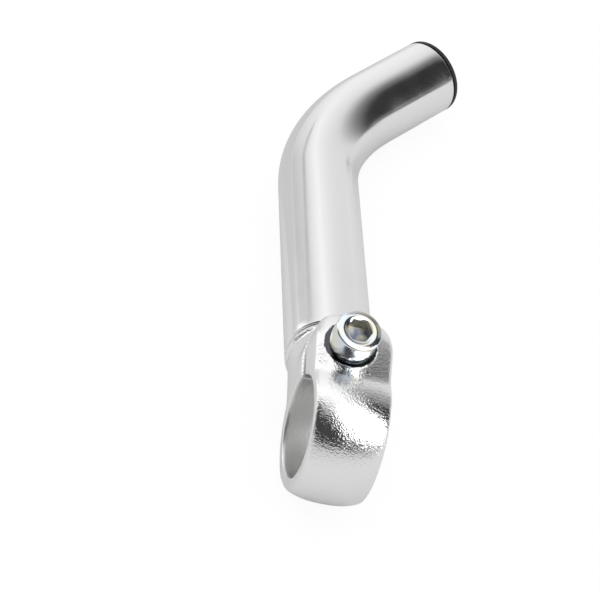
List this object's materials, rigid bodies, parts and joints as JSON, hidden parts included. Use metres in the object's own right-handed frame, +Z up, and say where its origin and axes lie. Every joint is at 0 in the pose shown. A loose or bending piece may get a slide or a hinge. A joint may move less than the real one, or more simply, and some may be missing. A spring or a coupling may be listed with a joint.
{
  "type": "bicycle bar end",
  "caption": "Short bicycle bar end: a slotted cast clamp with a socket cap screw, and a bent polished tube closed by a plastic end plug.",
  "frame": {"origin": "middle of the underside of the bounding box, as the bar end lies on a table", "axes": "+X from the clamp to the tip of the tube, +Y to the outboard side of the handlebar's axis (the tip bends to -Y), +Z up, to the side where the clamp screw's head is"},
  "size_m": [0.1642, 0.049, 0.0395],
  "materials": {
    "cast_aluminium": "tumble-polished casting with a fine orange-peel skin",
    "polished_aluminium": "polished along the tube",
    "zinc_plated_steel": "bright blue-white zinc plate",
    "black_plastic": "moulded, fine matt"
  },
  "bodies": {
    "bar_end": {"clamp": "cast_aluminium", "tube": "polished_aluminium", "end_plug": "black_plastic"},
    "screw": {"clamp_screw": "zinc_plated_steel"}
  },
  "joints": [
    {"name": "screw_turn", "type": "hinge", "parent": "bar_end", "child": "screw", "pos_m": [-0.05648, 0.01222, 0.03207], "axis": [-0.283, -0.1691, 0.9441], "range_deg": [0, 1800]}
  ]
}
